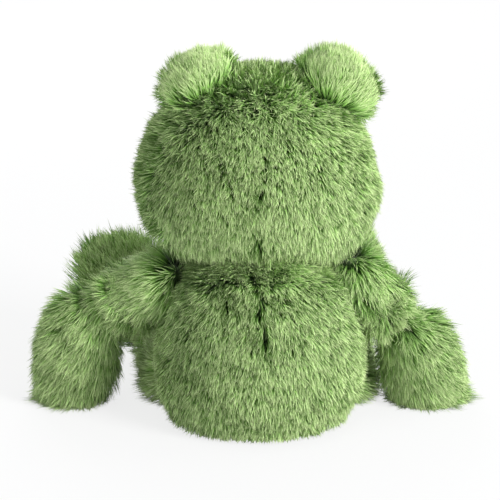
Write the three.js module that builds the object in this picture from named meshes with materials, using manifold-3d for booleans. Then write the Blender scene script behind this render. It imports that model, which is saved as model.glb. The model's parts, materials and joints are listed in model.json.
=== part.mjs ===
// A seated plush frog: stuffed forms that meet at soft ball-like seams, with a weighted seat.
// Millimetres, +Z up. The toy faces -Y and its left side is +X. The origin is the centre of the
// flat seat, on the floor.

import * as THREE from "three";
import { mergeVertices } from "three/addons/utils/BufferGeometryUtils.js";
import { ConvexGeometry } from "three/addons/geometries/ConvexGeometry.js";
import Module from "manifold-3d";

const wasm = await Module();
wasm.setup();

// Driving dimensions.

const seamGap = 0.3; // clearance between pieces that touch on the sewn toy
const turnGap = 0.45; // clearance of a ball of filling that turns in its dish
const capSpare = 0.6; // more room round a limb's blunt end, where its coarse copy is least exact

const bodyHalfWidth = 69;
const bodyHalfDepth = 62;
const bodyHeight = 128; // before the neck rounds its top
const bodyWidestHeight = 38;
const bodySag = 2; // how far the rounded bottom would reach below the floor if it weren't flat

const headHalfWidth = 79;
const headHalfDepth = 62;
const headForward = 8;
const headRise = 75;
const headDrop = 52;
const headSeat = 35.5; // from the top of the neck up to the head's widest height

const neckRadius = 81.5; // the rounded top of the body, on which the head turns
const neckTrim = 4.5; // how much of the body's top the neck's rounding takes off

const moundHalfWidth = 30.5;
const moundHalfDepth = 34;
const moundHalfHeight = 28.5;
const moundSpread = 39.5; // from the middle to each eye mound
const moundLean = 5; // how far the stuffed pair leans to the toy's right
const moundForward = 8;
const moundSink = 19; // from the top of the head down to the middle of a mound

const shoulderForward = 5;
const leftShoulderShare = 0.71875; // of the body's height
const rightShoulderShare = 0.7421875;
const armLength = 46;
const armRootRadius = 20;
const armBellyRadius = 21;
const armEndRadius = 18;
const armOverhang = 3; // how far the arm's end passes the wrist

const handHalfWidth = 28;
const handHalfThickness = 20;
const handPalm = 42; // from the hand's widest place back past the wrist
const handFingers = 44; // from there to the tip
const handReach = 36; // from the wrist to the widest place
const leftHandShift = 14.5; // how far the palm lies to the side of the wrist
const rightHandShift = -5.5;
const wristRadius = 15.5;

const legLength = 66;
const legRootRadius = 23.5;
const legBellyRadius = 22.5;
const legEndRadius = 18.5;
const legOverhang = 3;
const hipSpreadShare = 0.725; // of the body's half width
const hipForwardShare = 0.516; // of the body's half depth
const legSquash = 0.5; // how flat the leg's belly lies on the floor

const footHalfWidth = 36;
const footHalfThickness = 18;
const footHeel = 52; // from the foot's widest place down to the heel
const footToes = 54; // from there to the tips of the toes
const footReach = 29; // from the ankle up to the widest place
const footForward = 9;
const ankleRadius = 16;

const eyeRadius = 8;
const eyeDome = 5.5;
const eyeSink = 2.5; // how deep the eye draws the cloth of the mound in
const shankRadius = 2.2;
const shankLength = 10;
const shankClearance = 0.3;
const washerRadius = 7.4;
const washerThickness = 1.8;
const clothThickness = 2.4;

const mouthHalfWidth = 36;
const mouthDrop = 9; // below the head's widest height
const mouthDip = 13;
const mouthThread = 2.6;
const nostrilHalfWidth = 3;
const nostrilHalfHeight = 2.1;
const nostrilSpread = 9;
const nostrilRise = 22; // above the head's widest height
const threadRelief = 1.2;

const bellyHalfWidth = 29;
const bellyHalfHeight = 30;
const bellyRise = 38; // above the body's widest height
const bellyRelief = 2.2;

const pocketRadius = 22;
const pocketHeight = 15;
const seatThickness = 2.4;

// Turning limits of the seams in degrees, about each joint's axis at rest.

const hipTurn = [-12, 12];
const ankleTurn = [-12, 48];

// The two sides differ, because the toy sits as it was set down.

const sides = [
  {
    name: "left",
    sign: 1,
    shoulderShare: leftShoulderShare,
    armAim: [0.83, -0.34, -0.44],
    shoulderTurn: [-8, 38],
    handAim: [0.22, -0.04, -0.97],
    handShift: leftHandShift,
    wristTurn: [0, 55],
    legSplay: 9,
    footRoll: 44,
  },
  {
    name: "right",
    sign: -1,
    shoulderShare: rightShoulderShare,
    armAim: [-0.69, -0.15, -0.72],
    shoulderTurn: [0, 40],
    handAim: [-0.32, -0.22, -0.92],
    handShift: rightHandShift,
    wristTurn: [-6, 35],
    legSplay: 2,
    footRoll: 4,
  },
];

// Mesh counts: steps round a form and from pole to pole.

const bodySteps = [24, 14];
const limbSteps = [14, 10];
const jointSteps = [20, 8];
const neckSteps = [28, 16];
const proxySteps = [12, 8];
const sweepSteps = 4;
const roundSteps = 16;
const nostrilSteps = 10;
const bandSteps = 12;
const domeSteps = 5;

const degree = Math.PI / 180;
const up = new THREE.Vector3(0, 0, 1);
const across = new THREE.Vector3(1, 0, 0);
const ahead = new THREE.Vector3(0, -1, 0);
const vector = (x, y, z) => new THREE.Vector3(x, y, z);

// Solids.

function toSolid(geometry) {
  const bare = geometry.clone();
  for (const name of ["normal", "uv"]) {
    bare.deleteAttribute(name);
  }
  const merged = mergeVertices(bare, 1e-4);
  return new wasm.Manifold(
    new wasm.Mesh({
      numProp: 3,
      vertProperties: new Float32Array(merged.attributes.position.array),
      triVerts: new Uint32Array(merged.index.array),
    }),
  );
}

function toGeometry(solid) {
  const mesh = solid.getMesh();
  const geometry = new THREE.BufferGeometry();
  geometry.setAttribute("position", new THREE.BufferAttribute(new Float32Array(mesh.vertProperties), 3));
  geometry.setIndex(new THREE.BufferAttribute(new Uint32Array(mesh.triVerts), 1));
  geometry.computeVertexNormals();
  return geometry;
}

// A unit ball whose poles lie on Z, as a flat list of points that the forms below stretch.
function unitBall([around, poleToPole]) {
  const geometry = new THREE.SphereGeometry(1, around, poleToPole);
  geometry.rotateX(Math.PI / 2);
  return geometry;
}

// How far a faceted ring is scaled so that its flat sides clear the circle.
function ringShare(around) {
  return 1 / Math.cos(Math.PI / around);
}

function reshape(geometry, move) {
  const position = geometry.attributes.position;
  const point = new THREE.Vector3();
  for (let i = 0; i < position.count; i += 1) {
    point.fromBufferAttribute(position, i);
    move(point);
    position.setXYZ(i, point.x, point.y, point.z);
  }
  return geometry;
}

// The radius share of a swelling form at a height share: a power above 2 gives fuller shoulders.
function swell(share, power) {
  return (1 - Math.min(1, Math.abs(share)) ** power) ** (1 / power);
}

// A form whose width swells from a bottom pole to its widest height and tapers to its top.
function pearForm({ halfWidth, halfDepth, rise, drop, risePower, dropPower }, steps, grow = 0) {
  return reshape(unitBall(steps), (point) => {
    const ring = Math.hypot(point.x, point.y);
    const share = point.z;
    const wide = swell(share, share > 0 ? risePower : dropPower);
    const turn = ring > 1e-6 ? wide / ring : 0;
    point.x *= turn * (halfWidth + grow);
    point.y *= turn * (halfDepth + grow);
    point.z = share * ((share > 0 ? rise : drop) + grow);
  });
}

// A limb along +Z from a round root at the origin: radii at its root, belly and end.
function limbForm({ length, overhang, root, belly, end }, steps, grow = 0) {
  const low = -root;
  const high = length + overhang;
  return reshape(unitBall(steps), (point) => {
    const along = THREE.MathUtils.lerp(low - grow, high + grow, (point.z + 1) / 2);
    const fromRoot = Math.min(1, Math.max(0, (along - low) / root));
    const fromEnd = Math.min(1, Math.max(0, (high - along) / end));
    const share = THREE.MathUtils.clamp(along / length, 0, 1);
    const bend = (1 - share) * (1 - share) * root + 2 * share * (1 - share) * belly + share * share * end;
    const cap = Math.min(swell(1 - fromRoot, 2), swell(1 - fromEnd, 2));
    const ring = Math.hypot(point.x, point.y);
    const turn = ring > 1e-6 ? (bend * cap + grow) / ring : 0;
    point.x *= turn;
    point.y *= turn;
    point.z = along;
  });
}

// The growth that keeps a coarse copy of a form outside the fine form, with the seam's gap.
function proxyGrowth(radius) {
  const [around, poleToPole] = proxySteps;
  return seamGap + radius * (ringShare(around) * ringShare(2 * poleToPole) - 1);
}

// The turn that lays a form's +Z along a direction, with its +Y near a hint.
function aimed(direction, hint) {
  const z = direction.clone().normalize();
  const x = hint.clone().cross(z).normalize();
  const y = z.clone().cross(x);
  return new THREE.Matrix4().makeBasis(x, y, z);
}

function placed(matrix, origin) {
  return new THREE.Matrix4().makeTranslation(origin.x, origin.y, origin.z).multiply(matrix);
}

// The convex wrap of a form's points as they pass, when a joint at the pivot goes through its range.
function sweptWrap(geometry, pivot, axis, range) {
  const points = [];
  const position = geometry.attributes.position;
  for (let step = 0; step <= sweepSteps; step += 1) {
    const angle = -THREE.MathUtils.lerp(range[0], range[1], step / sweepSteps) * degree;
    for (let i = 0; i < position.count; i += 1) {
      const point = new THREE.Vector3().fromBufferAttribute(position, i);
      points.push(point.sub(pivot).applyAxisAngle(axis, angle).add(pivot));
    }
  }
  return toSolid(new ConvexGeometry(points));
}

// A ball at a pivot, with its poles on the axis that it turns about.
function pivotBall(radius, pivot, axis, steps, ringScale = 1) {
  const turn = aimed(axis, vector(axis.z, axis.x, axis.y));
  const shape = unitBall(steps).scale(radius * ringScale, radius * ringScale, radius);
  return toSolid(shape.applyMatrix4(placed(turn, pivot)));
}

// A limb's solid: its form clear of its swept parent, with a ball of filling at the seam.
function seated(form, ballRadius, pivot, axis, wrap) {
  return toSolid(form).subtract(wrap).add(pivotBall(ballRadius, pivot, axis, jointSteps));
}

// The dish in which such a ball turns freely.
function dish(ballRadius, pivot, axis, steps = jointSteps) {
  return pivotBall(ballRadius + turnGap, pivot, axis, steps, ringShare(steps[0]));
}

// The half of space above the floor, as a box wide enough for the whole toy.
const reach = 4 * bodyHeight;
const aboveFloor = toSolid(new THREE.BoxGeometry(reach, reach, reach).translate(0, 0, reach / 2));

// Colours and finishes.

const pile = new THREE.MeshStandardMaterial({ color: 0x86ab63, roughness: 0.95, metalness: 0 });
const bellyPile = new THREE.MeshStandardMaterial({ color: 0xb9cf8e, roughness: 0.95, metalness: 0 });
const cloth = new THREE.MeshStandardMaterial({ color: 0x6f9150, roughness: 0.9, metalness: 0 });
const thread = new THREE.MeshStandardMaterial({ color: 0x24301d, roughness: 0.7, metalness: 0 });
const eyePlastic = new THREE.MeshStandardMaterial({ color: 0x0b0b0b, roughness: 0.12, metalness: 0 });
const washerPlastic = new THREE.MeshStandardMaterial({ color: 0xe8e6df, roughness: 0.5, metalness: 0 });
const bagCloth = new THREE.MeshStandardMaterial({ color: 0xe9e4d6, roughness: 0.9, metalness: 0 });

const frog = new THREE.Group();

function addPiece(name, solid, material) {
  const mesh = new THREE.Mesh(toGeometry(solid), material);
  mesh.name = name;
  frog.add(mesh);
}

// Body.

const bodyShape = {
  halfWidth: bodyHalfWidth,
  halfDepth: bodyHalfDepth,
  rise: bodyHeight - bodyWidestHeight,
  drop: bodyWidestHeight + bodySag,
  risePower: 2.6,
  dropPower: 3.3,
};

function bodyForm(steps, grow = 0) {
  return pearForm(bodyShape, steps, grow).translate(0, 0, bodyWidestHeight);
}

const seatPocket = toSolid(
  new THREE.CylinderGeometry(pocketRadius, pocketRadius, 2 * pocketHeight, roundSteps).rotateX(Math.PI / 2),
);
const neckTop = bodyHeight - neckTrim;
const neckPivot = vector(0, 0, neckTop - neckRadius);
const neckBall = pivotBall(neckRadius, neckPivot, up, neckSteps);
let body = toSolid(bodyForm(bodySteps)).intersect(neckBall).intersect(aboveFloor).subtract(seatPocket);

function seatPanel() {
  const radius = pocketRadius - seamGap;
  const disc = new THREE.CylinderGeometry(radius, radius, seatThickness, roundSteps);
  return toSolid(disc.rotateX(Math.PI / 2).translate(0, 0, seatThickness / 2));
}

function pelletBag() {
  const floor = seatThickness + seamGap;
  const halfHeight = (pocketHeight - floor - seamGap) / 2;
  const radius = pocketRadius - 2 * seamGap;
  return toSolid(unitBall(limbSteps).scale(radius, radius, halfHeight).translate(0, 0, floor + halfHeight));
}

// Head, which turns on the rounded top of the body.

const headWidestHeight = neckTop + headSeat;

const headShape = {
  halfWidth: headHalfWidth,
  halfDepth: headHalfDepth,
  rise: headRise,
  drop: headDrop,
  risePower: 2,
  dropPower: 2.5,
};

function headForm(steps, grow = 0) {
  return pearForm(headShape, steps, grow).translate(0, -headForward, headWidestHeight);
}

const head = toSolid(headForm(bodySteps)).subtract(dish(neckRadius, neckPivot, up, neckSteps));

// Eye mounds, eyes and their washers.

const moundHeight = headWidestHeight + headRise - moundSink;

function moundCentre(side) {
  return vector(side.sign * moundSpread - moundLean, -moundForward, moundHeight);
}

// From the middle of a mound to its eye: mostly ahead, a little outwards and up.
const eyeOutShare = 0.24;
const eyeUpShare = 0.5;

function eyeAim(side) {
  return vector(side.sign * eyeOutShare, -1, eyeUpShare).normalize();
}

function eyePlace(side) {
  const aim = eyeAim(side);
  const depth = Math.hypot(aim.x * moundHalfWidth, aim.y * moundHalfDepth, aim.z * moundHalfHeight);
  return moundCentre(side).addScaledVector(aim, depth - eyeSink);
}

// A round bar along the eye's aim, between two distances from the seat of the eye.
function eyeBar(side, radius, from, to, steps = roundSteps) {
  const bar = new THREE.CylinderGeometry(radius, radius, to - from, steps).rotateX(Math.PI / 2);
  bar.translate(0, 0, (from + to) / 2);
  return toSolid(bar.applyMatrix4(placed(aimed(eyeAim(side), up), eyePlace(side))));
}

const washerBack = -(clothThickness + seamGap + washerThickness);

function eyeMound(side) {
  const centre = moundCentre(side);
  const form = unitBall(limbSteps).scale(moundHalfWidth, moundHalfDepth, moundHalfHeight);
  const seat = eyeBar(side, eyeRadius + seamGap, 0, eyeSink + eyeDome);
  const pocket = eyeBar(side, washerRadius + seamGap, washerBack - seamGap, -clothThickness);
  const hole = eyeBar(side, shankRadius + shankClearance, -shankLength - seamGap, eyeSink);
  return toSolid(form.translate(centre.x, centre.y, centre.z))
    .subtract(toSolid(headForm(bodySteps, seamGap)))
    .subtract(seat)
    .subtract(pocket)
    .subtract(hole);
}

function eye(side) {
  const profile = [new THREE.Vector2(0, -shankLength), new THREE.Vector2(shankRadius, -shankLength)];
  profile.push(new THREE.Vector2(shankRadius, seamGap));
  for (let step = 0; step <= domeSteps; step += 1) {
    const angle = (step / domeSteps) * (Math.PI / 2);
    const height = seamGap + eyeDome * Math.sin(angle);
    profile.push(new THREE.Vector2(step === domeSteps ? 0 : eyeRadius * Math.cos(angle), height));
  }
  const shape = new THREE.LatheGeometry(profile, roundSteps).rotateX(Math.PI / 2);
  return toSolid(shape.applyMatrix4(placed(aimed(eyeAim(side), up), eyePlace(side))));
}

function eyeWasher(side) {
  const ring = eyeBar(side, washerRadius, washerBack, washerBack + washerThickness);
  return ring.subtract(eyeBar(side, shankRadius + shankClearance, washerBack - seamGap, 0));
}

// Stitched mouth and nostrils, raised on the front of the head.

function headRelief() {
  const outer = toSolid(headForm(bodySteps, seamGap + threadRelief));
  return outer.subtract(toSolid(headForm(bodySteps, seamGap)));
}

function bentBand() {
  const line = (offset) => {
    const points = [];
    for (let step = 0; step <= bandSteps; step += 1) {
      const share = (2 * step) / bandSteps - 1;
      const height = headWidestHeight - mouthDrop - mouthDip * (1 - share * share) + offset;
      points.push(new THREE.Vector2(share * mouthHalfWidth, height));
    }
    return points;
  };
  const outline = [...line(-mouthThread / 2), ...line(mouthThread / 2).reverse()];
  const depth = 2 * headHalfDepth;
  const band = new THREE.ExtrudeGeometry(new THREE.Shape(outline), { depth, bevelEnabled: false });
  return toSolid(band.rotateX(Math.PI / 2));
}

function nostril(side) {
  const bar = new THREE.CylinderGeometry(1, 1, 2 * headHalfDepth, nostrilSteps);
  bar.scale(nostrilHalfWidth, 1, nostrilHalfHeight);
  bar.translate(side.sign * nostrilSpread, -headHalfDepth, headWidestHeight + nostrilRise);
  return headRelief().intersect(toSolid(bar));
}

// The belly panel lies on the front of the body.

function bellyPanel() {
  const outer = toSolid(bodyForm(bodySteps, seamGap + bellyRelief));
  const inner = toSolid(bodyForm(bodySteps, seamGap));
  const cut = new THREE.CylinderGeometry(1, 1, 2 * bodyHalfDepth, roundSteps);
  cut.scale(bellyHalfWidth, 1, bellyHalfHeight).translate(0, -bodyHalfDepth, bodyWidestHeight + bellyRise);
  return outer.subtract(inner).intersect(toSolid(cut));
}

// Arms and hands.

const armShape = {
  length: armLength,
  overhang: armOverhang,
  root: armRootRadius,
  belly: armBellyRadius,
  end: armEndRadius,
};

const handShape = {
  halfWidth: handHalfWidth,
  halfDepth: handHalfThickness,
  rise: handFingers,
  drop: handPalm,
  risePower: 2.6,
  dropPower: 2.2,
};

// The middle of a shoulder seam lies on the body's side.
function shoulder(side) {
  const height = side.shoulderShare * bodyHeight;
  const share = (height - bodyWidestHeight) / bodyShape.rise;
  const spread = bodyHalfWidth * swell(share, bodyShape.risePower);
  return vector(side.sign * spread, -shoulderForward, height);
}

function upperArm(side) {
  const pivot = shoulder(side);
  const aim = vector(...side.armAim).normalize();
  const wrist = pivot.clone().addScaledVector(aim, armLength);
  const place = placed(aimed(aim, ahead), pivot);
  const form = (steps, grow) => limbForm(armShape, steps, grow).applyMatrix4(place);
  // Positive turns lift the arm outwards on both sides.
  const axis = vector(0, -side.sign, 0);
  const parent = bodyForm(proxySteps, proxyGrowth(bodyHalfWidth));
  const wrap = sweptWrap(parent, pivot, axis, side.shoulderTurn);
  const arm = seated(form(limbSteps), armRootRadius, pivot, axis, wrap);
  return { arm, pivot, wrist, form, axis };
}

function hand(side, arm) {
  const aim = vector(...side.handAim).normalize();
  const shape = pearForm(handShape, limbSteps).translate(side.handShift, 0, handReach);
  shape.applyMatrix4(placed(aimed(aim, ahead), arm.wrist));
  const parent = arm.form(proxySteps, proxyGrowth(armBellyRadius) + capSpare);
  const wrap = sweptWrap(parent, arm.wrist, arm.axis, side.wristTurn);
  return seated(shape, wristRadius, arm.wrist, arm.axis, wrap).intersect(aboveFloor);
}

// Legs and feet.

const legShape = {
  length: legLength,
  overhang: legOverhang,
  root: legRootRadius,
  belly: legBellyRadius,
  end: legEndRadius,
};

const footShape = {
  halfWidth: footHalfWidth,
  halfDepth: footHalfThickness,
  rise: footToes,
  drop: footHeel,
  risePower: 2.2,
  dropPower: 2.2,
};

function leg(side) {
  const height = legBellyRadius - legSquash;
  const pivot = vector(side.sign * hipSpreadShare * bodyHalfWidth, -hipForwardShare * bodyHalfDepth, height);
  const aim = ahead.clone().applyAxisAngle(up, side.sign * side.legSplay * degree);
  const ankle = pivot.clone().addScaledVector(aim, legLength);
  const place = placed(aimed(aim, across), pivot);
  const form = (steps, grow) => limbForm(legShape, steps, grow).applyMatrix4(place);
  const axis = vector(0, 0, side.sign);
  const parent = bodyForm(proxySteps, proxyGrowth(bodyHalfWidth));
  const wrap = sweptWrap(parent, pivot, axis, hipTurn);
  const solid = seated(form(limbSteps), legRootRadius, pivot, axis, wrap);
  return { solid, pivot, ankle, aim, form, axis };
}

// Positive turns let the foot flop forwards.
function ankleAxis(limb) {
  return up.clone().cross(limb.aim).normalize();
}

function foot(side, limb) {
  const rise = up.clone().applyAxisAngle(limb.aim, -side.sign * side.footRoll * degree);
  const shape = pearForm(footShape, limbSteps).translate(0, footForward, footReach);
  shape.applyMatrix4(placed(aimed(rise, limb.aim), limb.ankle));
  const parent = limb.form(proxySteps, proxyGrowth(legRootRadius) + capSpare);
  const wrap = sweptWrap(parent, limb.ankle, ankleAxis(limb), ankleTurn);
  return seated(shape, ankleRadius, limb.ankle, ankleAxis(limb), wrap).intersect(aboveFloor);
}

// Assembly.

for (const side of sides) {
  const arm = upperArm(side);
  const limb = leg(side);
  body = body.subtract(dish(armRootRadius, arm.pivot, arm.axis));
  body = body.subtract(dish(legRootRadius, limb.pivot, limb.axis));
  addPiece(`upper_arm_${side.name}`, arm.arm.subtract(dish(wristRadius, arm.wrist, arm.axis)), pile);
  addPiece(`hand_${side.name}`, hand(side, arm), pile);
  const ankleDish = dish(ankleRadius, limb.ankle, ankleAxis(limb));
  const legSolid = limb.solid.subtract(ankleDish).intersect(aboveFloor);
  addPiece(`leg_${side.name}`, legSolid, pile);
  addPiece(`foot_${side.name}`, foot(side, limb), pile);
  addPiece(`eye_mound_${side.name}`, eyeMound(side), pile);
  addPiece(`eye_${side.name}`, eye(side), eyePlastic);
  addPiece(`eye_washer_${side.name}`, eyeWasher(side), washerPlastic);
  addPiece(`nostril_${side.name}`, nostril(side), thread);
}

addPiece("body", body, pile);
addPiece("head", head, pile);
addPiece("mouth_stitch", headRelief().intersect(bentBand()), thread);
addPiece("belly_panel", bellyPanel(), bellyPile);
addPiece("seat_panel", seatPanel(), cloth);
addPiece("pellet_bag", pelletBag(), bagCloth);

export default frog;
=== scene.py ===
"""A seated plush frog in long green pile.

Each stuffed form gets a sewn cover that cloth pressure fills, and a coat of combed pile in tapered
strands. The eyes are gloss domes on shanks, the mouth and nostrils are satin stitch, and the seat is
closed with a round of cloth over a bag of pellets. Lengths are in metres.
"""

import json
import math

import bpy
import numpy as np
from mathutils import Matrix, Vector
from mathutils.bvhtree import BVHTree


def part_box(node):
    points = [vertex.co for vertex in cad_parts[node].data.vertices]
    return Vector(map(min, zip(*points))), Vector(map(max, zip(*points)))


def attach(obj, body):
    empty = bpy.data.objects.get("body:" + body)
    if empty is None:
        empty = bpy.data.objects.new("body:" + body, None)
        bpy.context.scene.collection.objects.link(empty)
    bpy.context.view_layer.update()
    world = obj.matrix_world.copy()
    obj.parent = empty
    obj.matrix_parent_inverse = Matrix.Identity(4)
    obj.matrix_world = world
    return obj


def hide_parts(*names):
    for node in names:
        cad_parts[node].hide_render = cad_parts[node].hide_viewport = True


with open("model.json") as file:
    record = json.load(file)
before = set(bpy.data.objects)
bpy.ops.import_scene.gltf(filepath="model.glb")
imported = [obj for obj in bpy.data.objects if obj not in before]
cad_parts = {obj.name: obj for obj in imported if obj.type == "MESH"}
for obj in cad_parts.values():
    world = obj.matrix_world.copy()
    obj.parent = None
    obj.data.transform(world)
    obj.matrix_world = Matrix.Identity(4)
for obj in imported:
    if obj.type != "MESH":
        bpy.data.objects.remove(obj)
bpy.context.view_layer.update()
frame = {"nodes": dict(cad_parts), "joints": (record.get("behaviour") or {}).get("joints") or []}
nodes = frame["nodes"]
scene = bpy.context.scene
bpy.ops.object.select_all(action="DESELECT")

MM = 0.001
SIDES = ("left", "right")
LIMBS = ("upper_arm", "hand", "leg", "foot")

# Camera, lamps and the pale surroundings

CAMERA_AIM = Vector((0.0065, 0.0, 0.1141))
CAMERA_DISTANCE = 1.2
CAMERA_RISE = math.radians(18)
CAMERA_LENS = 132.9

camera_data = bpy.data.cameras.new("camera")
camera_data.sensor_width = 36
camera_data.lens = CAMERA_LENS
camera = bpy.data.objects.new("camera", camera_data)
scene.collection.objects.link(camera)
towards_camera = Vector((0, math.cos(CAMERA_RISE), math.sin(CAMERA_RISE)))
camera.location = CAMERA_AIM + towards_camera * CAMERA_DISTANCE
camera.rotation_euler = (-towards_camera).to_track_quat("-Z", "Y").to_euler()
scene.camera = camera
scene.view_settings.view_transform = "Standard"


def softbox(name, place, size, power):
    """A square area lamp that faces the middle of the toy."""
    data = bpy.data.lights.new(name, "AREA")
    data.size, data.energy = size, power
    lamp = bpy.data.objects.new(name, data)
    scene.collection.objects.link(lamp)
    lamp.location = place
    aim = Vector((0, 0, 0.11)) - Vector(place)
    lamp.rotation_euler = aim.to_track_quat("-Z", "Y").to_euler()


softbox("key", (-1.35, 1.05, 1.0), 0.6, 36)
softbox("fill", (1.3, 1.1, 0.8), 1.2, 3.5)
softbox("top", (-0.3, 0.1, 1.8), 1.0, 5.5)
softbox("front", (0.4, -1.6, 0.7), 1.3, 17)


NODE_OPTIONS = ("operation", "data_type", "uv_map", "bands_direction")


def shader_tree(tree):
    """Empties a node tree. Gives the function that adds a node with its sockets set, and the one that
    links."""
    tree.nodes.clear()

    def add(kind, **values):
        node = tree.nodes.new("ShaderNode" + kind)
        for name, value in values.items():
            if name in NODE_OPTIONS:
                setattr(node, name, value)
            else:
                node.inputs[name.replace("_", " ")].default_value = value
        return node

    return add, tree.links.new


def new_material(name):
    """A material without nodes, with the two functions that fill it."""
    material = bpy.data.materials.new(name)
    material.use_nodes = True
    return (material, *shader_tree(material.node_tree))


def camera_ray(add):
    """1 for what the camera sees directly, 0 for all other light."""
    return add("LightPath").outputs["Is Camera Ray"]


world = bpy.data.worlds.new("studio")
scene.world = world
world.use_nodes = True
add, link = shader_tree(world.node_tree)
studio = add("Background", Color=(0.80, 0.83, 0.86, 1), Strength=0.44)
backdrop = add("Background", Color=(1, 1, 1, 1), Strength=1)
mixed = add("MixShader")
link(camera_ray(add), mixed.inputs["Fac"])
link(studio.outputs[0], mixed.inputs[1])
link(backdrop.outputs[0], mixed.inputs[2])
link(mixed.outputs[0], add("OutputWorld").inputs["Surface"])

bpy.ops.mesh.primitive_plane_add(size=6, location=(0, 0, -0.0002))
floor = bpy.context.active_object
floor.name = "floor"
bpy.ops.object.transform_apply(location=True)
paper, add, link = new_material("white paper")
share = add("Math", operation="MULTIPLY")
reach = add("VectorMath", operation="LENGTH")
blend = add("MapRange", From_Min=0.4, From_Max=1.6, To_Min=0.8, To_Max=1.0)  # whiter further out
lit = add("BsdfDiffuse", Color=(0.86, 0.86, 0.86, 1))
glow = add("Emission", Color=(1, 1, 1, 1), Strength=1)
mixed = add("MixShader")
link(add("TexCoord").outputs["Object"], reach.inputs[0])
link(reach.outputs["Value"], blend.inputs["Value"])
link(camera_ray(add), share.inputs[0])
link(blend.outputs["Result"], share.inputs[1])
link(share.outputs[0], mixed.inputs["Fac"])
link(lit.outputs[0], mixed.inputs[1])
link(glow.outputs[0], mixed.inputs[2])
link(mixed.outputs[0], add("OutputMaterial").inputs["Surface"])
floor.data.materials.append(paper)

# Materials


def ramp(add, stops):
    """A colour ramp with the given (place, colour) stops."""
    node = add("ValToRGB")
    elements = node.color_ramp.elements
    while len(elements) < len(stops):
        elements.new(0.5)
    for element, (place, colour) in zip(elements, stops):
        element.position = place
        element.color = (*colour, 1)
    return node


def fibre_material(name, root, middle, tip, shade):
    """Pile whose colour runs from a root in painted shade to a tip in painted light, and from a strand in
    painted shade to a light one.

    The strands carry a map on which across is the strand's tone and up is the way from root to tip.
    """
    material, add, link = new_material(name)
    place = add("UVMap", uv_map="OFBake")
    parts = add("SeparateXYZ")
    # Painted shade at the root and painted light at the tip, along each strand.
    along = ramp(add, [(0.2, root), (0.6, middle), (0.95, tip)])
    # Painted shade: the three colours dimmed by the shade shares, for strands of low tone.
    painted_shade_colours = [[c * share for c, share in zip(colour, shade)] for colour in (root, middle, tip)]
    dark = ramp(add, [(0.25, painted_shade_colours[0]), (0.7, painted_shade_colours[1]), (1.0, painted_shade_colours[2])])
    tone = add("Mix", data_type="RGBA")
    principled = add("BsdfPrincipled", Roughness=0.62, Specular_IOR_Level=0.15, Sheen_Weight=0.14,
                     Sheen_Roughness=0.45, Sheen_Tint=(0.82, 1.0, 0.62, 1))
    link(place.outputs["UV"], parts.inputs[0])
    link(parts.outputs["Y"], along.inputs["Fac"])
    link(parts.outputs["Y"], dark.inputs["Fac"])
    link(parts.outputs["X"], tone.inputs["Factor"])
    link(dark.outputs["Color"], tone.inputs["A"])
    link(along.outputs["Color"], tone.inputs["B"])
    link(tone.outputs["Result"], principled.inputs["Base Color"])
    link(principled.outputs[0], add("OutputMaterial").inputs["Surface"])
    return material


WAVE_SCALE = 0.314  # makes one row of a wave texture as wide as the thread


def woven_material(name, colour, thread, depth, roughness=0.85):
    """Knitted or woven cloth: rows of thread at the given width, with painted shade in the grooves between
    the rows and a slow random change of tone.
    """
    material, add, link = new_material(name)
    place = add("TexCoord").outputs["Object"]
    rows = []
    for axis in "XYZ":
        scale = WAVE_SCALE / thread
        wave = add("TexWave", bands_direction=axis, Scale=scale, Distortion=0.6, Detail=1.0)
        link(place, wave.inputs["Vector"])
        rows.append(wave.outputs["Fac"])
    first = add("Math", operation="MAXIMUM")
    weave = add("Math", operation="MAXIMUM")
    link(rows[0], first.inputs[0])
    link(rows[1], first.inputs[1])
    link(first.outputs[0], weave.inputs[0])
    link(rows[2], weave.inputs[1])
    cloud = add("TexNoise", Scale=60, Detail=4)
    link(place, cloud.inputs["Vector"])
    shade = add("Math", operation="MULTIPLY_ADD")
    shade.inputs[1].default_value = 0.5
    link(weave.outputs[0], shade.inputs[0])
    link(cloud.outputs["Fac"], shade.inputs[2])
    # Painted shade: in the grooves of the weave the colour falls towards 0.55 of itself.
    colours = ramp(add, [(0.25, [c * 0.55 for c in colour]), (1.0, colour)])
    link(shade.outputs[0], colours.inputs["Fac"])
    bump = add("Bump", Strength=0.5, Distance=depth)
    link(weave.outputs[0], bump.inputs["Height"])
    principled = add("BsdfPrincipled", Roughness=roughness, Sheen_Weight=0.2)
    link(colours.outputs["Color"], principled.inputs["Base Color"])
    link(bump.outputs["Normal"], principled.inputs["Normal"])
    link(principled.outputs[0], add("OutputMaterial").inputs["Surface"])
    return material


def moulded_material(name, colour, roughness, coat, grain):
    """Moulded plastic with a faint uneven gloss."""
    material, add, link = new_material(name)
    cloud = add("TexNoise", Scale=grain, Detail=3)
    link(add("TexCoord").outputs["Object"], cloud.inputs["Vector"])
    gloss = add("MapRange", To_Min=roughness * 0.7, To_Max=roughness * 1.4)
    link(cloud.outputs["Fac"], gloss.inputs["Value"])
    colours = ramp(add, [(0.3, colour), (0.8, [c * 1.25 + 0.002 for c in colour])])
    link(cloud.outputs["Fac"], colours.inputs["Fac"])
    principled = add("BsdfPrincipled", Coat_Weight=coat, Coat_Roughness=0.03)
    link(colours.outputs["Color"], principled.inputs["Base Color"])
    link(gloss.outputs["Result"], principled.inputs["Roughness"])
    link(principled.outputs[0], add("OutputMaterial").inputs["Surface"])
    return material


# Each pile's root colour is painted shade deep in the pile, its tip colour is painted light, and its last
# shares dim the colours of strands in painted shade.
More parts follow.
